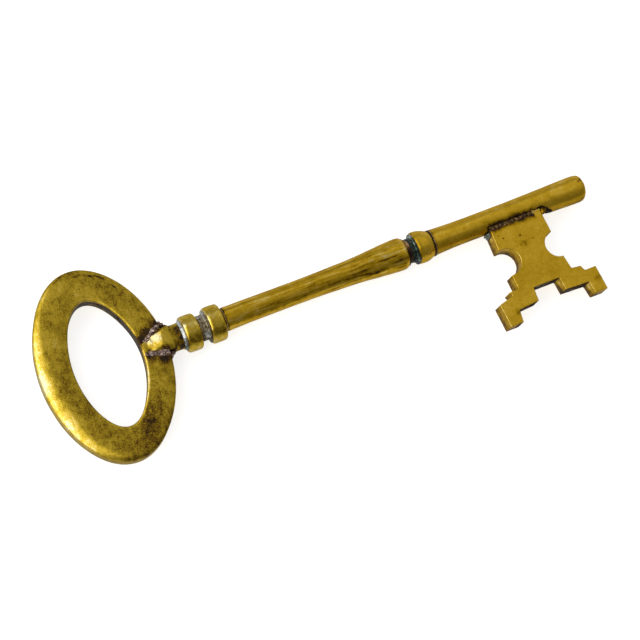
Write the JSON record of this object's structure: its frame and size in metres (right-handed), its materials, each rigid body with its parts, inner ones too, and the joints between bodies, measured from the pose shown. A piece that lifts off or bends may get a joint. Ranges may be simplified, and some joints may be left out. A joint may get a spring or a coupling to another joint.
{
  "type": "bit key",
  "caption": "Large brass bit key: oval ring bow, collared turned shank, round pin and a flat stepped bit, brazed into one rigid piece.",
  "frame": {"origin": "centre of the flat end face of the pin, the tip that enters the lock", "axes": "+X along the key's axis, out of the tip; -Y the way the bit points; +Z normal to the flat front of the bow and bit"},
  "size_m": [0.2322, 0.0813, 0.0148],
  "materials": {
    "brass": "aged, hand-filed and rubbed brass, satin to semi-gloss, mottled patina",
    "braze": "rough, dark, oxidised braze",
    "solder": "dull grey soft solder, lumpy"
  },
  "bodies": {
    "root": {"bow": "brass", "neck": "brass", "rear_collar": "brass", "middle_collar": "brass", "shank": "brass", "front_collar": "brass", "pin": "brass", "bit": "brass", "fork_braze_front_upper": "braze", "fork_braze_front_lower": "braze", "fork_braze_back_upper": "braze", "fork_braze_back_lower": "braze", "bow_fillet_upper": "braze", "bow_fillet_lower": "braze", "rear_collar_solder": "solder", "middle_collar_solder": "solder", "shank_rear_solder": "solder", "shank_mouth_braze": "braze", "front_collar_solder": "solder", "pin_shoulder_solder": "solder", "bit_braze_front": "braze", "bit_braze_back": "braze", "bit_heel_solder": "solder", "bit_toe_braze": "braze"}
  },
  "joints": []
}
